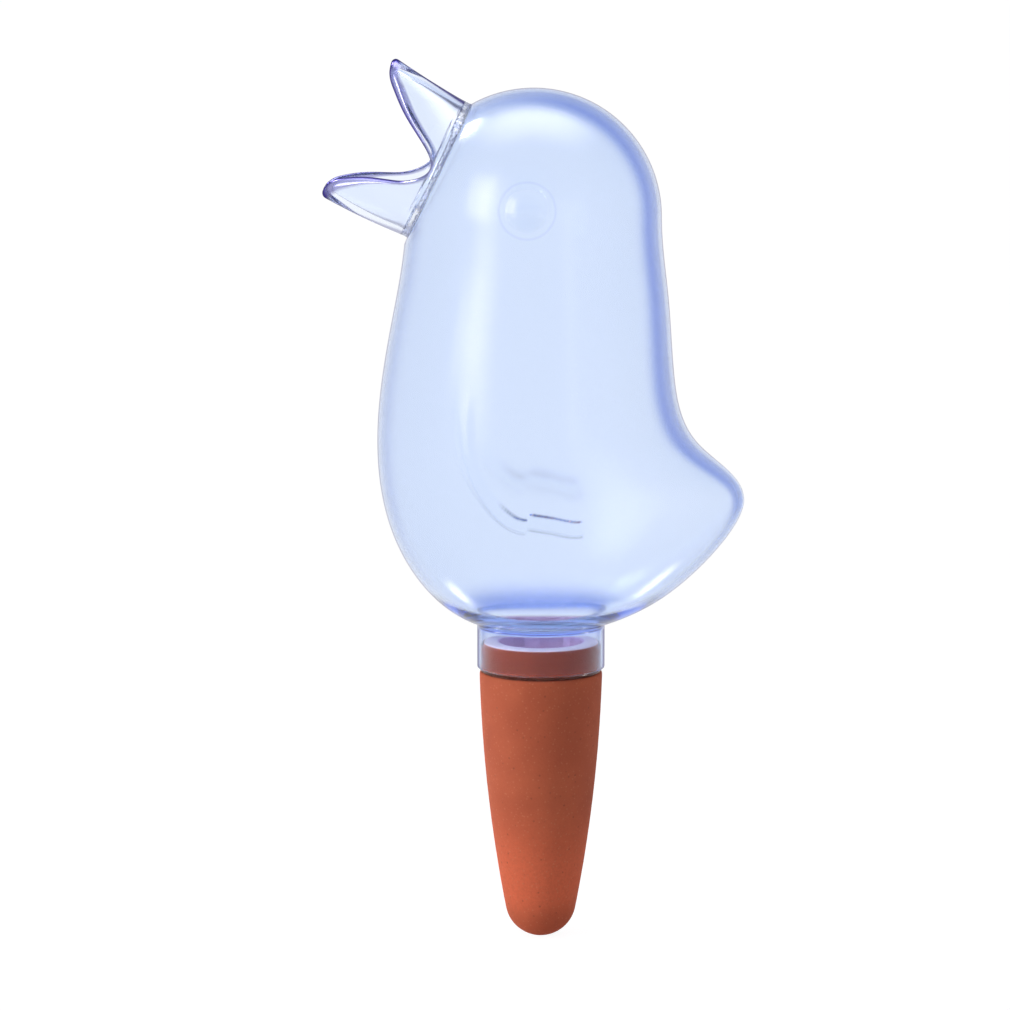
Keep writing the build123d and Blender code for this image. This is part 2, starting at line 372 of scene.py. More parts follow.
def makeTerracotta(finish):
    material, wire = startMaterial("terracotta")
    place = wire.node("ShaderNodeTexCoord", out=3)
    cloud = wire.noise(place, finish["cloudScale"], 4.0)
    grain = wire.noise(place, finish["grainScale"], 3.0)
    specks, pits = (wire.node("ShaderNodeTexVoronoi", None, {"Vector": place, "Scale": finish[name]})
                    for name in ("speckScale", "pitScale"))
    height = wire.node("ShaderNodeSeparateXYZ", None, {0: place}, out=2)
    flat = wire.node("ShaderNodeVectorMath", {"operation": "MULTIPLY"}, {0: place, 1: (1.0, 1.0, 0.0)})
    out = wire.node("ShaderNodeVectorMath", {"operation": "LENGTH"}, {0: flat}, out=1)

    # The plug: wet outside, with painted bluish light on top and in the well, and a painted shadow in the joint
    # under the sleeve
    wetness = height.rise(*finish["wetFrom"])
    soil = finish["soilDepth"] * height.rise(*finish["soilFrom"]) * (1.0 - height.rise(*finish["soilTo"]))
    plugColour = height.rise(*finish["paintedTopFrom"]).blend(finish["wet"], finish["paintedTopLight"])
    plugColour = (1.0 - out.rise(*finish["wellEdge"])).blend(plugColour, finish["well"])

    # The cone: cloudy, lighter low down, with pale specks, dark pits and grain
    lowToneShare = height.rise(*finish["lowToneFrom"]) * (1.0 - height.rise(*finish["lowToneTo"]))
    ground = cloud.rise(*finish["clouds"]).blend(finish["deep"], finish["fired"])
    ground = lowToneShare.blend(ground, finish["lowTone"])
    paler = (1.0 - specks.rise(*finish["specks"])) * finish["speckDepth"]
    darker = (1.0 - pits.rise(*finish["pits"])) * finish["pitDepth"]
    speckled = darker.blend(paler.blend(ground, finish["pale"]), finish["dark"])
    grained = (grain.rise(*finish["grain"]) * finish["grainDepth"]).blend(speckled, finish["deep"])
    hollows = grain - finish["pitHeight"] * (1.0 - pits.rise(*finish["pitHollows"]))
    shader = wire.node("ShaderNodeBsdfPrincipled", None, {
        "Base Color": soil.blend(wetness.blend(grained, plugColour), finish["soil"]),
        "Roughness": finish["roughness"] - finish["wetGloss"] * wetness,
        "Specular IOR Level": finish["gloss"],
        "Normal": wire.bump(finish["bumpStrength"], finish["bumpDepth"], hollows),
    })
    finishMaterial(wire, shader)
    return material


# Soft clear silicone, with a fine skin
sealFinish = {
    "tint": (0.98, 0.98, 0.98, 1.0),
    "roughness": 0.02,
    "skinRoughness": 0.04,
    "skinScale": 900.0,
    "skinDepth": 0.00005,
    "skinStrength": 0.3,
    "shine": (0.2, 0.2, 0.2, 1.0),
    "bending": 1.41,
}


def makeSilicone(finish):
    material, wire = startMaterial("silicone")
    place = wire.node("ShaderNodeTexCoord", out=3)
    skin = wire.noise(place, finish["skinScale"], 2.0)
    dulled = finish["roughness"] + finish["skinRoughness"] * skin
    bump = wire.bump(finish["skinStrength"], finish["skinDepth"], skin)
    finishMaterial(wire, clearShader(wire, finish, finish["tint"], dulled, bump))
    return material


shellPlastic = makeShellPlastic(shellFinish)
beakPlastic = makeBeakPlastic(beakFinish)
clearAdhesive = makeClearAdhesive(bondFinish)
terracotta = makeTerracotta(clayFinish)
silicone = makeSilicone(sealFinish)
print("materials made")


def addPiece(name, mesh, material, node, body):
    mesh.materials.clear()
    mesh.materials.append(material)
    piece = bpy.data.objects.new(name, mesh)
    scene.collection.objects.link(piece)
    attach(piece, body)
    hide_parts(node)


# Faces turned outward, with corners past sharpAngle, in degrees, left sharp
def faceOutward(mesh):
    work = bmesh.new()
    work.from_mesh(mesh)
    bmesh.ops.recalc_face_normals(work, faces=work.faces)
    work.to_mesh(mesh)
    work.free()
    mesh.set_sharp_from_angle(angle=math.radians(sharpAngle))


# A mesh from closed loops of points, each joined to the next and the last to the first
def meshFromLoops(name, loops):
    rows, columns = loops.shape[:2]
    points = (loops.reshape(-1, 3) * mm).tolist()
    faces = []
    for i in range(rows):
        k = (i + 1) % rows
        for j in range(columns):
            m = (j + 1) % columns
            faces.append((i * columns + j, i * columns + m, k * columns + m, k * columns + j))
    mesh = bpy.data.meshes.new(name)
    mesh.from_pydata(points, [], faces)
    mesh.shade_smooth()
    faceOutward(mesh)
    return mesh


# Bird: side lines as (distance from the spike's axis, height), from the neck up to the head
bird = {
    "wall": 1.3,
    "neckWall": 0.6,
    "neckSpread": 4.0,
    "headRadius": 31.7,
    "headHeight": 114.1,
    "headForward": 1.9,
    "neckRadius": 16.0,
    "neckHeight": 12.2,
    "neckSlope": 0.30,
    "neckFillet": 1.6,
    "sleeveFoot": 0.8,
    "sleeveBore": 15.2,
    "rimRound": 0.5,
    "breast": ((33.8, 27.9), (40.8, 57.0), (37.0, 88.7)),
    "flank": ((30.0, 27.9), (35.2, 57.0), (33.1, 88.7)),
    "rump": (35.8, 22.8),
    "tail": (50.7, 43.0),
    "tailBluntness": 0.6,
    "back": ((39.0, 57.4), (33.0, 75.55), (31.6, 93.7)),
    "tailFullness": 0.42,
    "roundFullness": math.sqrt(0.5),
    "columns": 272,
    "flankDensity": 0.22,  # columns stand closer on the flanks
    "wingZone": (37.0, 50.0, 80.0),  # fine loops up to the middle height, wider ones above it
    "wingSteps": (0.25, 0.6),
    "plainStep": 1.0,
    "fanStart": 88.0,
    "fanLoops": 92,
    "seatLoops": 6,  # beside the beak, left out of the eye domes
    "darkRimWay": (0.95, 0.0, 0.25),  # the edge tint is strongest facing this way and is painted weaker towards the lamps, as painted light
    "litSideShare": 0.35,
    "leanRange": (-0.5, 0.6),
    "underRange": (0.1, 0.6),
    "underFade": 0.9,
    "farPatchReach": (18.0, 25.0),
    "farPatchTop": (15.0, 22.0),
    "farPatchSide": (-4.0, 12.0),
    "neckLip": (16.4, 17.6),
    "lipTop": (14.0, 17.0),
    "neckFrom": (10.8, 12.0),
    "neckDepth": 0.9,
    "rimChamfer": 0.15,
    "filletRows": 8,
    "filletGap": 0.12,
    "innerRows": 56,
    "innerFanLoops": 40,
    "fanGap": 0.0085,
    "throatGap": 0.3,
    "sleeveShare": 0.6,
    "sleeveLine": 2.0,
    "stepDepth": 0.9,
    "cutHeight": 0.3,
    "cutRough": 4.0,
    "sleeveRough": 0.25,
    "roughRange": (14.0, 26.0),
    "farFromEye": 30.0,
    "farthest": 90.0,
    "halvings": 40,
}

# Beak seat: a flat cut across the head
seat = {"tilt": 25.7, "distance": 25.9, "land": 2.0}
seatTilt = math.radians(seat["tilt"])
beakAxis = np.array((-math.cos(seatTilt), 0.0, math.sin(seatTilt)))
beakUp = np.array((math.sin(seatTilt), 0.0, math.cos(seatTilt)))
sideways = np.array((0.0, 1.0, 0.0))
headCentre = np.array((-bird["headForward"], 0.0, bird["headHeight"]))
seatCentre = headCentre + beakAxis * seat["distance"]
flangeRadius = math.sqrt(bird["headRadius"] ** 2 - seat["distance"] ** 2)
openingRadius = flangeRadius - seat["land"]


# A smooth line through points, with set directions at its ends
def smoothLine(points, startWay, endWay, steps=120):
    spots = np.array(points, float)
    spans = np.linalg.norm(np.diff(spots, axis=0), axis=1)
    count = len(spots)
    system = np.eye(count)
    ways = np.zeros((count, 2))
    ways[0], ways[-1] = startWay, endWay
    for i in range(1, count - 1):
        before, after = spans[i - 1], spans[i]
        system[i, i - 1:i + 2] = after, 2 * (before + after), before
        ways[i] = 3 * (after * (spots[i] - spots[i - 1]) / before
                       + before * (spots[i + 1] - spots[i]) / after)
    ways = np.linalg.solve(system, ways)
    t = np.linspace(0.0, 1.0, steps)[:, None]
    runs = []
    for i in range(count - 1):
        run = ((2 * t ** 3 - 3 * t ** 2 + 1) * spots[i] + (t ** 3 - 2 * t ** 2 + t) * spans[i] * ways[i]
               + (3 * t ** 2 - 2 * t ** 3) * spots[i + 1] + (t ** 3 - t ** 2) * spans[i] * ways[i + 1])
        runs.append(run if i == count - 2 else run[:-1])
    return np.concatenate(runs)


# A side line moved in by a depth, and further in near the neck, where the blown wall is thicker
def insetLine(line, depth):
    extra = bird["neckWall"] * np.exp(-((line[:, 1] - bird["neckHeight"]) / bird["neckSpread"]) ** 2)
    depth = depth + (extra if depth > 0 else 0.0)
    way = np.gradient(line, axis=0)
    way /= np.linalg.norm(way, axis=1)[:, None]
    return np.column_stack((line[:, 0] - way[:, 1] * depth, line[:, 1] + way[:, 0] * depth))


# Reaches of the body at a depth inside its skin, against height
def bodyLines(depth):
    neck = (bird["neckRadius"], bird["neckHeight"])
    out = np.array((1.0, bird["neckSlope"]))
    out /= np.linalg.norm(out)
    up = np.array((0.0, 1.0))
    radius, height, forward = bird["headRadius"], bird["headHeight"], bird["headForward"]
    front = smoothLine((neck, *bird["breast"], (radius + forward, height)), out, up)
    side = smoothLine((neck, *bird["flank"], (radius, height)), out, up)
    under = smoothLine((neck, bird["rump"], bird["tail"]), out, up * bird["tailBluntness"])
    over = smoothLine((bird["tail"], *bird["back"], (radius - forward, height)), up, up)
    rear = np.concatenate((under[:-1], over))
    front, side, rear = (insetLine(line, depth) for line in (front, side, rear))
    return {"front": front, "side": side, "rear": rear, "lowest": front[0, 1], "radius": radius - depth}


# How far a point has to be scaled out from the body's middle to reach the skin
def roomAt(lines, points):
    x, y, z = points[..., 0], points[..., 1], points[..., 2]
    height = bird["headHeight"]
    level = np.clip(z, lines["lowest"], height)
    front, side, rear = (np.interp(level, lines[key][:, 1], lines[key][:, 0])
                         for key in ("front", "side", "rear"))
    middle = -bird["headForward"] * (level - lines["lowest"]) / (height - lines["lowest"])
    tailReach, backReach = bird["tail"][0], bird["back"][2][0]
    tailShare = np.clip((rear - backReach) / (tailReach - backReach), 0.0, 1.0)
    behind = x > middle
    fullness = bird["roundFullness"] + (bird["tailFullness"] - bird["roundFullness"]) * tailShare * behind
    u = np.abs(x - middle) / np.where(behind, rear - middle, front + middle)
    v = np.abs(y) / side
    q = 4 * fullness ** 2
    a = np.maximum((u + v) ** 2 - q * u * v, 1e-12)
    b = -(u + v) * (2 - q)
    torso = (-b + np.sqrt(np.maximum(b * b - 4 * a * (1 - q), 0.0))) / (2 * a)
    ball = lines["radius"] / np.maximum(np.linalg.norm(points - headCentre, axis=-1), 1e-9)
    return np.where(z > height, ball, torso)


# Where rays from each loop's origin leave the body, found by halving
def skinLoops(lines, origins, ways):
    low = np.zeros(ways.shape[:2])
    high = np.full(ways.shape[:2], bird["farthest"])
    for step in range(bird["halvings"]):
        reach = (low + high) / 2
        inside = roomAt(lines, origins[:, None] + ways * reach[..., None]) > 1.0
        low = np.where(inside, reach, low)
        high = np.where(inside, high, reach)
    return origins[:, None] + ways * low[..., None]


# Level loops up to the breast, then planes that fan round a hinge until they lie in the beak's seat
hingeReach = (seatCentre[2] - bird["fanStart"]) / beakUp[2]
hinge = seatCentre - beakUp * hingeReach
fanEnd = math.atan2(beakUp[2], beakUp[0])


def bodyLoops(lines, heights, turns, angles):
    origins = [(-bird["headForward"] * (z - lines["lowest"]) / (bird["headHeight"] - lines["lowest"]), 0.0, z)
               for z in heights]
    ways = [np.array((1.0, 0.0, 0.0))] * len(heights)
    for turn in turns:
        way = np.array((math.cos(turn), 0.0, math.sin(turn)))
        origins.append(hinge + way * hingeReach)
        ways.append(way)
    ways = np.array(ways)[:, None] * np.cos(angles)[None, :, None] + sideways * np.sin(angles)[None, :, None]
    return skinLoops(lines, np.array(origins), ways)


def ring(radius, height, angles):
    return np.column_stack((radius * np.cos(angles), radius * np.sin(angles), np.full(len(angles), height)))


# Eyes: shallow domes on both sides of the head
eyes = {"radius": 6.9, "rise": 0.9, "forward": 1.8, "up": 4.4}

# Wings: a moulded band down the front of each wing and out along two feather tips
wings = {
    "relief": 0.6,
    "reach": {"first": (2.5, 1.9), "second": (1.9, 2.8)},
    "crispEdge": 0.35,
    "softEdge": 1.5,
    "fade": 16.0,
    "endFade": 0.6,
    "leastOut": 12.0,
    "mostAlong": 30.0,
    "lineWidth": 0.32,
    "first": ((-19.5, 76.5), (-19.5, 63.2), (-13.2, 47.6), (-4.2, 41.2)),
    "second": ((-3.2, 43.3), (3.0, 42.2), (9.4, 41.2)),
    "lines": {"first": (31.0, 36.0), "second": (0.2, 0.8)},
    "taper": {"first": (60.0, 70.0), "second": (2.5, 9.0)},
    "taperDepth": 0.5,
    "lowLines": {"first": 0.2, "second": 0.5},
}


def smoothRise(value, low, high):
    share = np.clip((value - low) / (high - low), 0.0, 1.0)
    return share * share * (3 - 2 * share)


# Distance from a line to points, positive on its left, and the distance along it
def alongLine(line, points):
    starts, runs = line[:-1], np.diff(line, axis=0)
    lengths = np.linalg.norm(runs, axis=1)
    ways = runs / lengths[:, None]
    begun = np.concatenate(([0.0], np.cumsum(lengths)))[:-1]
    rel = points[:, None] - starts
    along = (rel * ways).sum(-1)
    held = np.clip(along, 0.0, lengths)
    gap = np.linalg.norm(rel - ways * held[..., None], axis=-1)
    nearest = gap.argmin(axis=1)
    pick = np.arange(len(points))
    side = ways[nearest, 0] * rel[pick, nearest, 1] - ways[nearest, 1] * rel[pick, nearest, 0]
    over = along[pick, nearest] - held[pick, nearest]
    return side, gap[pick, nearest], begun[nearest] + held[pick, nearest], over


# Height of the wing bands over the skin, and painted shade lines where their upper edges step down to it and
# along their lower edges
def wingHeight(points):
    flat = points.reshape(-1, 3)
    height, steps = np.zeros(len(flat)), np.zeros(len(flat))
    low, high = bird["wingZone"][0], bird["wingZone"][2]
    x, y, z = np.abs(flat[:, 0]), np.abs(flat[:, 1]), flat[:, 2]
    near = (z > low) & (z < high) & (y > wings["leastOut"]) & (x < wings["mostAlong"])
    spots = flat[near][:, (0, 2)]
    raised, edges = np.zeros(len(spots)), np.zeros(len(spots))
    for key, startWay, endWay in (("first", (0.0, -1.0), (1.0, -0.1)), ("second", (1.0, -0.2), (1.0, 0.1))):
        line = smoothLine(wings[key], startWay, endWay, 40)
        side, gap, along, over = alongLine(line, spots)
        signed = np.where(side > 0, gap, -gap)
        above, below = wings["reach"][key]
        inner = smoothRise(above - signed, 0.0, wings["crispEdge"])
        outer = smoothRise(below + signed, 0.0, wings["softEdge"])
        ends = 1 - smoothRise(np.abs(over), 0.0, wings["endFade"])
        band = inner * outer * ends
        if key == "first":
            band *= smoothRise(along, 0.0, wings["fade"])
        raised = np.maximum(raised, band)
        off = (signed - above + wings["crispEdge"] / 2) / wings["lineWidth"]
        shown = ends * smoothRise(along, *wings["lines"][key])
        tapered = shown * (1 - wings["taperDepth"] * smoothRise(along, *wings["taper"][key]))
        edges = np.maximum(edges, np.exp(-off ** 2) * tapered)
        off = (signed + below - wings["softEdge"] / 3) / wings["lineWidth"]
        edges = np.maximum(edges, np.exp(-off ** 2) * shown * wings["lowLines"][key])
    height[near] = raised * wings["relief"]
    steps[near] = edges
    return height.reshape(points.shape[:2]), steps.reshape(points.shape[:2])


# Height of the eye domes over the head, and the distance from their axes
def eyeHeight(points):
    ball = bird["headRadius"]
    cap = ball + eyes["rise"] - math.sqrt(ball ** 2 - eyes["radius"] ** 2)
    domeRadius = (eyes["radius"] ** 2 + cap ** 2) / (2 * cap)
    rel = points - headCentre
    height, away = np.zeros(points.shape[:2]), np.full(points.shape[:2], bird["farFromEye"])
    across = math.sqrt(ball ** 2 - eyes["forward"] ** 2 - eyes["up"] ** 2)
    for side in (-1.0, 1.0):
        axis = np.array((-eyes["forward"], side * across, eyes["up"])) / ball
        along = rel @ axis
        out = np.linalg.norm(rel - along[..., None] * axis, axis=-1)
        dome = np.sqrt(np.maximum(domeRadius ** 2 - out ** 2, 0.0)) + ball + eyes["rise"] - domeRadius
        rise = np.where((out < eyes["radius"]) & (along > 0), dome - np.linalg.norm(rel, axis=-1), 0.0)
        height = np.maximum(height, rise)
        away = np.where(along > 0, np.minimum(away, out), away)
    return height, away


# Outward normals of rows of loops that run up the body
def loopNormals(loops):
    around = np.roll(loops, -1, axis=1) - np.roll(loops, 1, axis=1)
    normals = np.cross(around, np.gradient(loops, axis=0))
    return normals / np.linalg.norm(normals, axis=-1)[..., None]


# Share of the edge tint: painted light, weaker on the front that faces the lamps and on the underside over the
# floor
def rimShare(normals):
    lean = normals @ np.array(bird["darkRimWay"])
    share = bird["litSideShare"] + (1 - bird["litSideShare"]) * smoothRise(lean, *bird["leanRange"])
    return share * (1 - bird["underFade"] * smoothRise(-normals[..., 2], *bird["underRange"]))


# Deeper blue round the neck: a thin ring at the fillet, painted shade, and a patch on the far side of the neck
def neckShade(points):
    out, high = np.hypot(points[..., 0], points[..., 1]), points[..., 2]
    farPatch = (1 - smoothRise(out, *bird["farPatchReach"])) * (1 - smoothRise(high, *bird["farPatchTop"]))
    farPatch *= smoothRise(points[..., 1], *bird["farPatchSide"])
    lip = (1 - smoothRise(out, *bird["neckLip"])) * (1 - smoothRise(high, *bird["lipTop"]))
    return smoothRise(high, *bird["neckFrom"]) * np.maximum(farPatch, lip)


# Length along a line at each of its points
def runAlong(line):
    return np.concatenate(([0.0], np.cumsum(np.linalg.norm(np.diff(line, axis=0), axis=1))))


def buildBirdShell():
    turn = np.linspace(0.0, 2 * math.pi, bird["columns"], endpoint=False)
    angles = turn + bird["flankDensity"] * np.sin(2 * turn)

    # Sleeve from its rim up to the fillet under the belly
    foot, bore, neck, rim = bird["sleeveFoot"], bird["sleeveBore"], bird["neckRadius"], bird["rimRound"]
    chamfer = bird["rimChamfer"]
    profile = [(bore, foot + chamfer), (bore + chamfer, foot)]
    for share in np.linspace(0.0, 1.0, 6):
        bend = share * math.pi / 2
        profile.append((neck - rim + rim * math.sin(bend), foot + rim - rim * math.cos(bend)))
    slope = math.atan(bird["neckSlope"])
    bendAngle = math.pi / 2 - slope
    fillet = bird["neckFillet"]
    lead = fillet * math.tan(bendAngle / 2)
    arcStart = bird["neckHeight"] - lead
    profile += [(neck, z) for z in np.linspace(foot + rim, arcStart, 8)[1:]]
    for share in np.linspace(0.0, 1.0, bird["filletRows"] + 1)[1:]:
        bend = share * bendAngle
        profile.append((neck + fillet * (1 - math.cos(bend)), arcStart + fillet * math.sin(bend)))
    sleeve = np.array([ring(radius, z, angles) for radius, z in profile])

    # Body loops: even steps along the flank, finer where the wings are
    skin = bodyLines(0.0)
    flank = skin["side"]
    run = runAlong(flank)
    zoneLow, zoneMiddle, zoneHigh = bird["wingZone"]
    fineStep, wingStep = bird["wingSteps"]
    first, last = (np.interp(z, flank[:, 1], run) for z in (profile[-1][1] + bird["filletGap"], zoneLow))
    heights = list(np.interp(np.arange(first, last, bird["plainStep"]), run, flank[:, 1]))
    heights += list(np.arange(zoneLow, zoneMiddle, fineStep))
    heights += list(np.arange(zoneMiddle, zoneHigh, wingStep))
    heights += list(np.linspace(zoneHigh, bird["fanStart"], 9))
    turns = np.linspace(0.0, fanEnd, bird["fanLoops"] + 1)[1:]
    outer = bodyLoops(skin, heights, turns, angles)
    normals = loopNormals(outer)
    raised, steps = wingHeight(outer)
    domes, eyeOut = eyeHeight(outer)
    raised[:-bird["seatLoops"]] += domes[:-bird["seatLoops"]]
    outer = outer + normals * raised[..., None]

    # Seat land, then the inner wall back down to the sleeve's bore
    land = np.cos(angles)[:, None] * beakUp + np.sin(angles)[:, None] * sideways
    land = seatCentre + openingRadius * land
    hollow = bodyLines(bird["wall"])
    inside = hollow["side"]
    run = runAlong(inside)
    lowest = hollow["lowest"] + bird["throatGap"]
    first, last = (np.interp(z, inside[:, 1], run) for z in (lowest, bird["fanStart"]))
    heights = np.interp(np.linspace(first, last, bird["innerRows"]), run, inside[:, 1])
    turns = np.linspace(0.0, fanEnd - bird["fanGap"], bird["innerFanLoops"])[1:]
    inner = bodyLoops(hollow, heights, turns, angles)
    innerShare = rimShare(loopNormals(inner))[::-1]
    inner = inner[::-1]
    throat = np.array([ring(radius, z, angles) for radius, z in (
        (bore + chamfer, lowest - 0.25), (bore, lowest - 0.7), (bore, 12.0), (bore, 8.0), (bore, 4.0),
        (bore, foot + 0.6))])
    loops = np.concatenate((sleeve, outer, land[None], inner, throat))

    # Values that the plastic reads, given to the rows of the sleeve, the outside and the inside
    rows = loops.shape[:2]
    outside = slice(len(sleeve), len(sleeve) + len(outer))
    lining = slice(outside.stop + 1, outside.stop + 1 + len(inner))
    share, drawn = np.full(rows, bird["sleeveShare"]), np.ones(rows)
    step, away = np.zeros(rows), np.full(rows, bird["farFromEye"])
    share[outside], step[outside], away[outside] = rimShare(normals), steps, eyeOut
    share[lining], drawn[lining] = innerShare, innerShare
    drawn[:len(sleeve) - bird["filletRows"]] = bird["sleeveLine"]
    high, smoothest = loops[..., 2], bird["sleeveRough"]
    rough = smoothest + (1 - smoothest) * smoothRise(high, *bird["roughRange"])
    rough = np.where(high < foot + bird["cutHeight"], bird["cutRough"], rough)
    return loops, {"rimShare": share, "lineShare": drawn, "neckShade": bird["neckDepth"] * neckShade(loops),
                   "featherStep": bird["stepDepth"] * step, "roughShare": rough, "eyeOut": away}


def addAttributes(mesh, values):
    for name, value in values.items():
        mesh.attributes.new(name, "FLOAT", "POINT").data.foreach_set("value", value.ravel())


shellLoops, shellValues = buildBirdShell()
shellMesh = meshFromLoops("birdShell", shellLoops)
addAttributes(shellMesh, shellValues)
addPiece("birdShell", shellMesh, shellPlastic, "bird_shell", "bird")
print("bird shell built:", len(shellMesh.polygons), "faces")


# Open beak: base ring with a round throat, and a tube that narrows to two jaws, cut by the gape
beak = {
    "bond": 0.2,
    "flange": 1.6,
    "spigotDepth": 1.0,
    "spigotGap": 0.15,
    "throat": 11.0,
    "jawWall": 1.6,
    "tipWall": 2.8,
    "lengths": (1.8, 9.0, 24.4),
    "lifts": (0.0, 0.15, 1.4),
    "halfHeights": (0.0, 0.45, 1.3),
    "halfWidths": (18.28, 13.0, 8.0),
    "gape": ((-18.6, 23.7), (-16.8, 23.9), (-14.6, 23.1), (-12.4, 20.9), (-9.9, 17.4), (-6.7, 10.8),
             (-4.4, 6.4), (0.9, 2.7), (6.0, 8.0), (10.4, 14.7), (14.7, 19.3), (17.6, 21.6), (21.0, 22.4)),
    "gapeEnds": (0.99, 0.12),
    "tipRange": (6.0, 23.0),
    "cutStart": 12.0,
    "cutSteps": 80,
    "cutShare": 0.4,
    "wallFoot": 0.1,
    "land": 14.0,
    "columns": 400,
    "wallLoops": 16,
    "rimLoops": 9,
    "ringLoops": 6,
    "edgeDepth": 0.8,
    "cornerRange": (3.0, 9.0),
    "cornerEdge": 0.55,
    "boldRange": (-0.6, 0.2),
    "leastBold": 0.45,
}


def buildBeak():
    bondTop = beak["bond"]
    top = bondTop + beak["flange"]
    spigot = openingRadius - beak["spigotGap"]
    fill = beak["throat"]
    deep = -beak["spigotDepth"]
    angles = np.linspace(0.0, 2 * math.pi, beak["columns"], endpoint=False)
    gape = smoothLine(beak["gape"], beak["gapeEnds"], beak["gapeEnds"])
    lift = np.polyfit(beak["lengths"], beak["lifts"], 2)
    flare = np.polyfit(beak["lengths"], beak["halfHeights"], 2)
    width = np.polyfit(beak["lengths"], beak["halfWidths"], 2)

    # A point on the tube at a height above the seat and a depth in from its outside
    def tube(height, thinning):
        halfHeight = flangeRadius + np.polyval(flare, height) - thinning
        across = np.polyval(lift, height) + halfHeight * np.cos(angles)
        return across, (np.polyval(width, height) - thinning) * np.sin(angles)

    def loop(across, out, height):
        across, out, height = (np.broadcast_to(value, angles.shape) for value in (across, out, height))
        return seatCentre + across[:, None] * beakUp + out[:, None] * sideways + height[:, None] * beakAxis

    def circle(radius, height):
        return loop(radius * np.cos(angles), radius * np.sin(angles), height)

    # Height of the gape round the tube, neared in steps
    cut = np.full(len(angles), beak["cutStart"])
    for step in range(beak["cutSteps"]):
        across, out = tube(cut, beak["jawWall"] / 2)
        cut = cut + beak["cutShare"] * (np.interp(across, gape[:, 0], gape[:, 1]) - cut)

    # Wall thickness grows towards the two tips
    wall = beak["jawWall"] + (beak["tipWall"] - beak["jawWall"]) * smoothRise(cut, *beak["tipRange"])
    rimBase = np.maximum(cut - wall / 2, top + 0.12)

    def wallHeight(share):
        return top + beak["wallFoot"] + (rimBase - top - beak["wallFoot"]) * share

    loops = [circle(fill, z) for z in (deep + 0.2, 0.0, top - 0.25)]
    loops += [circle(fill + 0.25, top), circle(beak["land"], top)]
    loops.append(circle(flangeRadius - beak["jawWall"] - 0.3, top))
    edges = [0.0] * len(loops)
    for share in np.linspace(0.0, 1.0, beak["wallLoops"]):
        height = wallHeight(share)
        thick = beak["jawWall"] + (wall - beak["jawWall"]) * share ** 2
        loops.append(loop(*tube(height, thick), height))
        edges.append(1 - smoothRise(rimBase - height, 0.0, beak["edgeDepth"]))
    for share in np.linspace(0.0, 1.0, beak["rimLoops"] + 2)[1:-1]:
        bend = math.pi * share
        height = rimBase + (cut - rimBase) * math.sin(bend)
        loops.append(loop(*tube(height, wall / 2 + wall / 2 * math.cos(bend)), height))
        edges.append(1.0)
    for share in np.linspace(1.0, 0.0, beak["wallLoops"]):
        height = wallHeight(share)
        loops.append(loop(*tube(height, 0.0), height))
        edges.append(1 - smoothRise(rimBase - height, 0.0, beak["edgeDepth"]))
    foot = [circle(flangeRadius, z) for z in (top - 0.2, top - 0.6, top - 1.0, bondTop + 0.15)]
    foot += [circle(flangeRadius - 0.15, bondTop), circle(spigot, bondTop), circle(spigot, deep + 0.2)]
    foot += [circle(spigot - 0.2, deep), circle(beak["land"], deep), circle(fill + 0.2, deep)]

    # Values that the plastic reads: jaw edges for painted shade, paler at the gape's corners, the base ring,
    # and painted shade lines bolder on the upper side
    edges = np.array([np.broadcast_to(edge, angles.shape) for edge in edges + [0.0] * len(foot)])
    corner, least = beak["cornerEdge"], beak["leastBold"]
    edges = edges * (corner + (1 - corner) * smoothRise(cut, *beak["cornerRange"]))
    base = np.zeros(edges.shape)
    base[len(loops):len(loops) + beak["ringLoops"]] = 1.0
    bold = least + (1 - least) * smoothRise(np.cos(angles), *beak["boldRange"])
    return np.array(loops + foot), {
        "jawEdge": edges, "baseRing": base, "boldLine": np.broadcast_to(bold, edges.shape)}


beakLoops, beakValues = buildBeak()
beakMesh = meshFromLoops("beakFunnel", beakLoops)
addAttributes(beakMesh, beakValues)
addPiece("beakFunnel", beakMesh, beakPlastic, "beak_funnel", "bird")
print("beak built:", len(beakMesh.polygons), "faces")


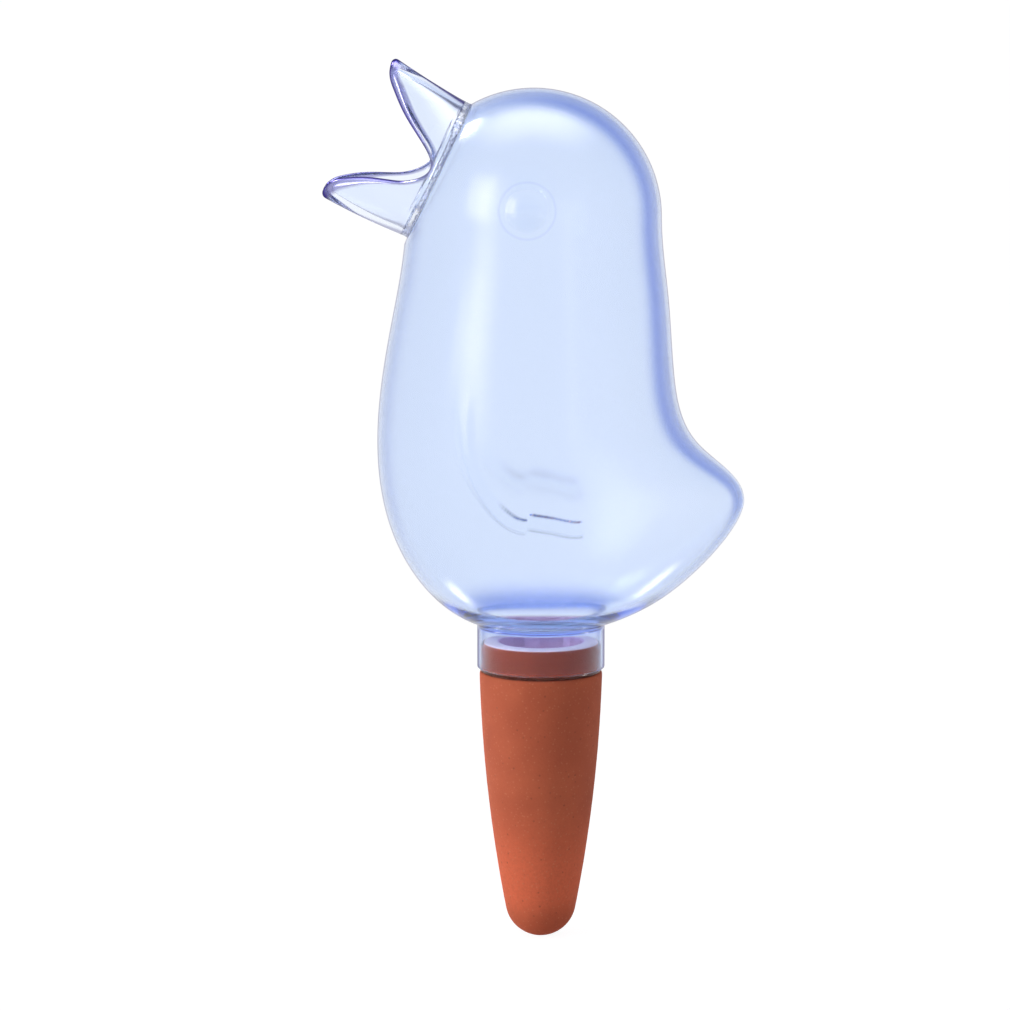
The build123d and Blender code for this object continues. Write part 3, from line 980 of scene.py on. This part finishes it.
# Geometry Nodes tree that turns a profile, drawn as radius and height, round the upright axis
def makeLatheTree():
    tree = bpy.data.node_groups.new("turnedProfile", "GeometryNodeTree")
    for name, kind, value in (("Profile", "NodeSocketGeometry", None), ("Around", "NodeSocketInt", 96),
                              ("Grain", "NodeSocketFloat", 0.0), ("Grain Size", "NodeSocketFloat", 400.0),
                              ("Seed", "NodeSocketFloat", 4.0), ("Finish", "NodeSocketMaterial", None)):
        socket = tree.interface.new_socket(name, in_out="INPUT", socket_type=kind)
        if value is not None:
            socket.default_value = value
    tree.interface.new_socket("Turned", in_out="OUTPUT", socket_type="NodeSocketGeometry")
    wire = Wire(tree)
    profile = wire.node("NodeGroupInput")
    around, grain, size, seed, finish = (profile.other(name) for name in
                                         ("Around", "Grain", "Grain Size", "Seed", "Finish"))
    count = wire.node("GeometryNodeAttributeDomainSize", {"component": "MESH"}, {0: profile})
    grid = wire.node("GeometryNodeMeshGrid", None, {"Vertices X": around + 1.0, "Vertices Y": count})
    index = wire.node("GeometryNodeInputIndex")
    column = wire.math("FLOOR", index / count)
    spot = wire.node("GeometryNodeSampleIndex", {"data_type": "FLOAT_VECTOR", "domain": "POINT"}, {
        "Geometry": profile, "Value": wire.node("GeometryNodeInputPosition"),
        "Index": index - column * count})
    turned = wire.node("ShaderNodeVectorRotate", {"rotation_type": "Z_AXIS"},
                       {"Vector": spot, "Angle": column / around * (2 * math.pi)})
    solid = wire.node("GeometryNodeSetPosition", None, {"Geometry": grid, "Position": turned})
    closed = wire.node("GeometryNodeMergeByDistance", None, {"Geometry": solid, "Distance": 1e-6})
    noise = wire.node("ShaderNodeTexNoise", {"noise_dimensions": "4D"}, {
        "Vector": wire.node("GeometryNodeInputPosition"), "W": seed, "Scale": size, "Detail": 3.0})
    push = wire.node("ShaderNodeVectorMath", {"operation": "SCALE"}, {
        0: wire.node("GeometryNodeInputNormal"), "Scale": (noise - 0.5) * grain})
    grained = wire.node("GeometryNodeSetPosition", None, {"Geometry": closed, "Offset": push})
    smooth = wire.node("GeometryNodeSetShadeSmooth", None, {"Geometry": grained})
    real = wire.node("GeometryNodeRealizeInstances", None, {"Geometry": smooth})
    wire.node("NodeGroupOutput", None, {0: wire.node("GeometryNodeSetMaterial", None, {
        "Geometry": real, "Material": finish})})
    return tree


latheTree = makeLatheTree()


def turnProfile(name, profile, material, sizes, place=None):
    chain = bpy.data.meshes.new(name + "Profile")
    chain.from_pydata([(radius * mm, 0.0, height * mm) for radius, height in profile],
                      [(i, i + 1) for i in range(len(profile) - 1)], [])
    holder = bpy.data.objects.new(name + "Profile", chain)
    scene.collection.objects.link(holder)
    lathe = holder.modifiers.new("lathe", "NODES")
    lathe.node_group = latheTree
    for item in latheTree.interface.items_tree:
        if item.in_out == "INPUT" and item.name in sizes:
            lathe[item.identifier] = sizes[item.name]
        elif item.in_out == "INPUT" and item.name == "Finish":
            lathe[item.identifier] = material
    bpy.context.view_layer.update()
    evaluated = holder.evaluated_get(bpy.context.evaluated_depsgraph_get())
    mesh = bpy.data.meshes.new_from_object(evaluated)
    mesh.name = name
    holder.modifiers.remove(lathe)
    bpy.data.objects.remove(holder)
    faceOutward(mesh)
    if place is not None:
        mesh.transform(place)
    return mesh


def arcPoints(centre, radius, start, end, steps):
    return [(centre[0] + radius * math.cos(a), centre[1] + radius * math.sin(a))
            for a in np.linspace(math.radians(start), math.radians(end), steps)]


# Clay spike: a bowed cone with a round nose, a plug for the neck and a well down its middle
spike = {
    "length": 68.1,
    "shoulder": 15.4,
    "shoulderRound": 0.9,
    "noseRadius": 8.9,
    "noseLean": 11.0,
    "plug": 14.4,
    "plugHeight": 7.5,
    "plugChamfer": 0.5,
    "wall": 4.0,
    "floor": 6.0,
    "sizes": {"Around": 144, "Grain": 0.00010, "Grain Size": 420.0, "Seed": 4.0},
}


def spikeProfile():
    nose, lean = spike["noseRadius"], math.radians(spike["noseLean"])
    centre = nose - spike["length"]
    points = arcPoints((0.0, centre), nose, -90.0, -spike["noseLean"], 24)
    points[0] = (0.0, -spike["length"])
    edge = points[-1]

    # Bowed side: an arc that leaves the nose along its slope and ends on the shoulder
    start, end = np.array(edge), np.array((spike["shoulder"], 0.0))
    square = np.array((-math.cos(lean), math.sin(lean)))
    bow = (end - start) @ (end - start) / (2 * (end - start) @ square)
    centre = start + square * bow
    first, last = (math.atan2(*(spot - centre)[::-1]) for spot in (start, end))
    side = arcPoints(centre, abs(bow), math.degrees(first), math.degrees(last), 90)[1:]
    rounding = spike["shoulderRound"]
    points += [spot for spot in side if spot[1] < -rounding]
    top = spike["shoulder"]
    points += arcPoints((top - rounding - 0.03, -rounding), rounding, 8.0, 90.0, 9)
    plug, high, chamfer = spike["plug"], spike["plugHeight"], spike["plugChamfer"]
    points += [(plug + 0.12, 0.0), (plug, 0.12)]
    points += [(plug, z) for z in np.linspace(0.8, high - chamfer, 9)]
    points += arcPoints((plug - chamfer, high - chamfer), chamfer, 20.0, 90.0, 4)
    well = plug - spike["wall"]
    points += [(well + 1.5, high), (well + 0.3, high), (well, high - 0.3)]
    wellFloor = spike["floor"] - spike["length"]
    deep = edge[0] - spike["wall"]
    points += [(well + (deep - well) * share, high + (wellFloor - high) * share)
               for share in (0.2, 0.4, 0.6, 0.8)]
    points += [(deep, wellFloor + 0.4), (deep - 0.4, wellFloor), (0.0, wellFloor)]
    return points


clayMesh = turnProfile("claySpike", spikeProfile(), terracotta, spike["sizes"])
addPiece("claySpike", clayMesh, terracotta, "clay_spike", "spike")
print("clay spike turned:", len(clayMesh.polygons), "faces")

# Silicone seal: a thin bush on the plug with a flange that the neck sleeve lands on
seal = {
    "bore": 14.2,
    "radius": 15.12,
    "flange": 15.05,
    "flangeHeight": 0.8,
    "height": 7.0,
    "sizes": {"Around": 144, "Grain": 0.000005, "Grain Size": 300.0, "Seed": 7.0},
}


def sealProfile():
    bore, radius, flange = seal["bore"], seal["radius"], seal["flange"]
    low, high = seal["flangeHeight"], seal["height"]
    points = [(bore, 0.1), (bore + 0.1, 0.0), (flange - 0.12, 0.0), (flange, 0.12), (flange, low),
              (radius, low + 0.1)]
    points += [(radius, z) for z in (2.5, 4.0, 5.5)]
    points += [(radius, high - 0.2), (radius - 0.2, high), (bore + 0.15, high), (bore, high - 0.15)]
    points += [(bore, z) for z in (5.5, 4.0, 2.5, 1.0, 0.1)]
    return points


sealMesh = turnProfile("spikeSeal", sealProfile(), silicone, seal["sizes"])
addPiece("spikeSeal", sealMesh, silicone, "spike_seal", "seal")
print("seal turned:", len(sealMesh.polygons), "faces")

# Bead of clear adhesive between the cut in the head and the beak's flange
bond = {"sizes": {"Around": 240, "Grain": 0.00003, "Grain Size": 900.0, "Seed": 2.0}}


def bondProfile():
    inside, outside, high = openingRadius, flangeRadius, beak["bond"]
    return [(inside, 0.0), (inside + 1.0, 0.0), (outside - 0.03, 0.0), (outside, 0.05),
            (outside, high - 0.05), (outside - 0.03, high), (inside + 1.0, high), (inside, high), (inside, 0.0)]


seatPlace = Matrix((
    (beakUp[0], sideways[0], beakAxis[0], seatCentre[0] * mm),
    (beakUp[1], sideways[1], beakAxis[1], seatCentre[1] * mm),
    (beakUp[2], sideways[2], beakAxis[2], seatCentre[2] * mm),
    (0.0, 0.0, 0.0, 1.0)))
bondMesh = turnProfile("beakBond", bondProfile(), clearAdhesive, bond["sizes"], seatPlace)
addPiece("beakBond", bondMesh, clearAdhesive, "beak_bond", "bird")
print("bond turned:", len(bondMesh.polygons), "faces")

# Studio: white floor that keeps a faint shadow, soft boxes for gloss, and two lamps for the clay and floor
studio = {
    "floorRadius": 6.0,
    "floorShade": 0.22,
    "floorGlow": 1.2,
    "floorColour": (0.9, 0.9, 0.9, 1.0),
    "white": (1.0, 1.0, 1.0, 1.0),
    "ambient": 0.42,
    "ambientTint": (0.95, 0.97, 1.0, 1.0),
    "skyRange": (0.02, 0.7),
    "skyTint": (0.64, 0.72, 0.92, 1.0),
    "aim": (0.0, 0.0, 0.07),
    "cardReach": 0.5,  # lamps nearer than this are not seen through the plastic
    # Name, way and distance from the aim, size, radiance, soft edge, and if it is mirrored or lights matt faces
    "lamps": (
        ("leftSoftbox", (-0.655, -0.705, 0.26), 0.94, (0.52, 1.2), 7.6, 0.42, True),
        ("eyeSoftbox", (-0.74, -0.58, 0.36), 0.92, (0.46, 0.68), 7.2, 0.2, True),
        ("topSoftbox", (0.0, 0.11, 1.0), 0.85, (1.5, 0.85), 6.0, 0.42, True),
        ("rightSoftbox", (0.49, -0.87, 0.05), 1.0, (0.25, 0.7), 1.8, 0.42, True),
        ("browSoftbox", (-0.50, 0.42, 0.665), 0.935, (0.32, 0.28), 30.0, 0.42, True),
        ("rightCard", (0.085, 0.001, -0.110), 0.139, (0.028, 0.044), 12.0, 0.42, True),
        ("leftCard", (-0.067, 0.002, -0.110), 0.129, (0.028, 0.036), 11.0, 0.42, True),
        ("keyLight", (-0.95, -0.32, 0.12), 1.0, (0.5, 0.8), 12.0, 0.42, False),
        ("overhead", (0.0, 0.11, 1.0), 0.85, (1.5, 0.85), 2.2, 0.42, False),
    ),
}


# 1 for rays from the camera, mirrored or passed through, and the camera's own share
def seenRays(wire):
    path = wire.node("ShaderNodeLightPath")
    camera = path.other("Is Camera Ray")
    seen = camera + path.other("Is Glossy Ray") + path.other("Is Transmission Ray")
    return wire.math("MINIMUM", seen, 1.0), camera


def lightStudio(setup):
    world = bpy.data.worlds.new("studio")
    scene.world = world
    world.use_nodes = True
    world.node_tree.nodes.clear()
    wire = Wire(world.node_tree)
    seen, camera = seenRays(wire)
    up = wire.node("ShaderNodeSeparateXYZ", None, {0: wire.node("ShaderNodeTexCoord")}, out=2)
    sky = up.rise(*setup["skyRange"]).blend(setup["white"], setup["skyTint"])
    shown = camera.blend(sky, setup["white"])
    soft = wire.node("ShaderNodeBackground", None,
                     {"Color": setup["ambientTint"], "Strength": setup["ambient"]})
    white = wire.node("ShaderNodeBackground", None, {"Color": shown, "Strength": 1.0})
    mixed = wire.node("ShaderNodeMixShader", None, {0: seen, 1: soft, 2: white})
    wire.node("ShaderNodeOutputWorld", None, {"Surface": mixed})

    material, wire = startMaterial("paleFloor")
    seen, camera = seenRays(wire)
    glow = wire.node("ShaderNodeEmission", None, {"Color": setup["white"], "Strength": setup["floorGlow"]})
    matt = wire.node("ShaderNodeBsdfDiffuse", None, {"Color": setup["floorColour"]})
    share = seen * (1.0 - setup["floorShade"])
    finishMaterial(wire, wire.node("ShaderNodeMixShader", None, {0: share, 1: matt, 2: glow}))
    floorZ = -spike["length"] * mm
    work = bmesh.new()
    bmesh.ops.create_circle(work, cap_ends=True, radius=setup["floorRadius"], segments=96,
                            matrix=Matrix.Translation((0.0, 0.0, floorZ)))
    mesh = bpy.data.meshes.new("floor")
    work.to_mesh(mesh)
    work.free()
    mesh.materials.append(material)
    floor = bpy.data.objects.new("floor", mesh)
    scene.collection.objects.link(floor)

    aim = Vector(setup["aim"])
    for name, way, distance, (wide, tall), radiance, softEdge, mirrored in setup["lamps"]:
        lamp = bpy.data.lights.new(name, "AREA")
        lamp.shape = "RECTANGLE"
        lamp.size, lamp.size_y = wide, tall
        lamp.energy = radiance * math.pi * wide * tall
        lamp.use_nodes = True
        lamp.node_tree.nodes.clear()
        wire = Wire(lamp.node_tree)
        across = wire.node("ShaderNodeSeparateXYZ", None, {0: wire.node("ShaderNodeNewGeometry", out=5)})
        level = 1.0
        for share in (across, across.other("Y")):
            inset = 0.5 - wire.math("ABSOLUTE", share - 0.5)
            level = inset.rise(0.0, softEdge) * level
        glow = wire.node("ShaderNodeEmission", None, {"Strength": level})
        wire.node("ShaderNodeOutputLight", None, {0: glow})
        box = bpy.data.objects.new(name, lamp)
        scene.collection.objects.link(box)
        spot = aim + Vector(way).normalized() * distance
        box.location = spot
        box.rotation_euler = (aim - spot).to_track_quat("-Z", "Y").to_euler()
        box.visible_camera = False
        box.visible_diffuse = not mirrored
        box.visible_glossy = mirrored
        box.visible_transmission = mirrored and distance > setup["cardReach"]


lightStudio(studio)
print("studio lit")

print("scene ready")
